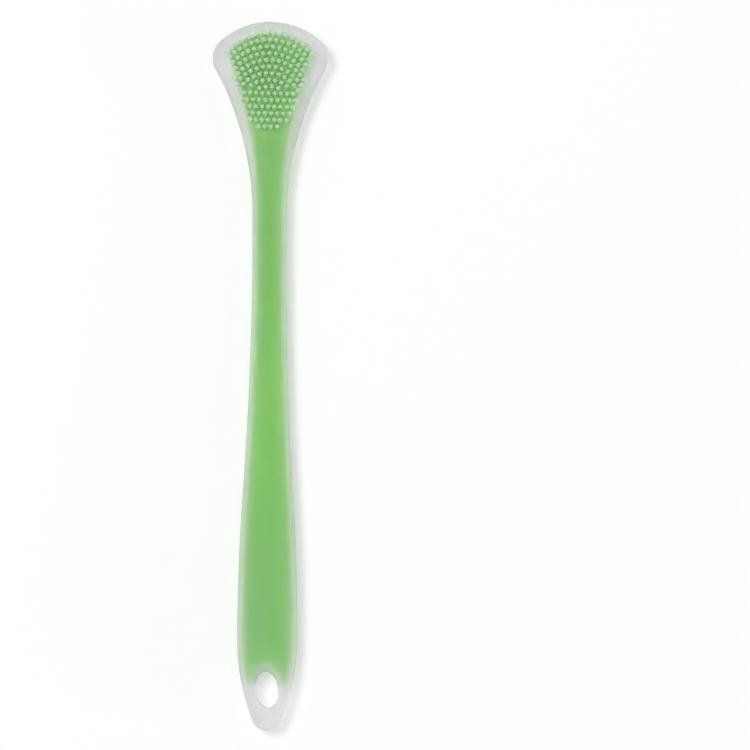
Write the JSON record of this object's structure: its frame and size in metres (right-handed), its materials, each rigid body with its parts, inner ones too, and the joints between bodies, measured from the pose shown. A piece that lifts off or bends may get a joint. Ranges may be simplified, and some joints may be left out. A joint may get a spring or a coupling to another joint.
{
  "type": "tongue scraper",
  "caption": "Slim tongue scraper with a stiff plastic core inside a translucent silicone skin, a fan-shaped head covered in short silicone bristles, a swelling handle and an oval hanging hole.",
  "frame": {"origin": "under the middle of the whole, on the surface that its flat back lies on", "axes": "+Y along the handle towards the head, +Z out of the bristled face, X across"},
  "size_m": [0.026, 0.16, 0.0068],
  "materials": {
    "core_plastic": "leaf-green moulded polypropylene, satin",
    "silicone": "milky translucent silicone, soft satin"
  },
  "bodies": {
    "root": {"core": "core_plastic", "silicone_body": "silicone", "bristle_row_01": "silicone", "bristle_row_02": "silicone", "bristle_row_03": "silicone", "bristle_row_04": "silicone", "bristle_row_05": "silicone", "bristle_row_06": "silicone", "bristle_row_07": "silicone", "bristle_row_08": "silicone", "bristle_row_09": "silicone", "bristle_row_10": "silicone", "bristle_row_11": "silicone", "bristle_row_12": "silicone", "bristle_row_13": "silicone", "bristle_row_14": "silicone", "bristle_row_15": "silicone"}
  },
  "joints": []
}
